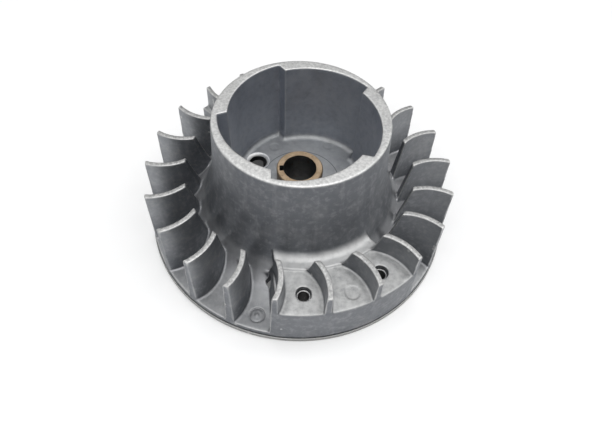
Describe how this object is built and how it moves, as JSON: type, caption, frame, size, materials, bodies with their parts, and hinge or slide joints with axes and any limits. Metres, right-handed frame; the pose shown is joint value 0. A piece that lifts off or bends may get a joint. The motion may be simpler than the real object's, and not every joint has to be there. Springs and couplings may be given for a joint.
{
  "type": "fan flywheel",
  "caption": "Cast fan flywheel of a small engine: curved blades round a deep starter cup with ratchet ramps, a magnet housing and a keyed hub.",
  "frame": {"origin": "centre of the rim's underside, on the spin axis", "axes": "+Z along the spin axis from the engine side towards the cup mouth; angles run anticlockwise from +X seen from +Z, and the magnet housing is centred 291.5 degrees round"},
  "size_m": [0.13, 0.13, 0.0565],
  "materials": {
    "cast_aluminium": "as cast, matt, with brighter worn edges",
    "hub_steel": "machined steel with a tan oil film",
    "lamination_steel": "stamped sheet steel, dull grey",
    "rivet_steel": "bright plated steel",
    "magnet": "dark sintered magnet"
  },
  "bodies": {
    "root": {"casting": "cast_aluminium", "hub_insert": "hub_steel", "magnet": "magnet", "leading_pole_rivet": "rivet_steel", "trailing_pole_rivet": "rivet_steel", "leading_pole_lamination_01": "lamination_steel", "leading_pole_lamination_02": "lamination_steel", "leading_pole_lamination_03": "lamination_steel", "leading_pole_lamination_04": "lamination_steel", "leading_pole_lamination_05": "lamination_steel", "leading_pole_lamination_06": "lamination_steel", "leading_pole_lamination_07": "lamination_steel", "leading_pole_lamination_08": "lamination_steel", "leading_pole_lamination_09": "lamination_steel", "leading_pole_lamination_10": "lamination_steel", "leading_pole_lamination_11": "lamination_steel", "leading_pole_lamination_12": "lamination_steel", "leading_pole_lamination_13": "lamination_steel", "trailing_pole_lamination_01": "lamination_steel", "trailing_pole_lamination_02": "lamination_steel", "trailing_pole_lamination_03": "lamination_steel", "trailing_pole_lamination_04": "lamination_steel", "trailing_pole_lamination_05": "lamination_steel", "trailing_pole_lamination_06": "lamination_steel", "trailing_pole_lamination_07": "lamination_steel", "trailing_pole_lamination_08": "lamination_steel", "trailing_pole_lamination_09": "lamination_steel", "trailing_pole_lamination_10": "lamination_steel", "trailing_pole_lamination_11": "lamination_steel", "trailing_pole_lamination_12": "lamination_steel", "trailing_pole_lamination_13": "lamination_steel"}
  },
  "joints": []
}
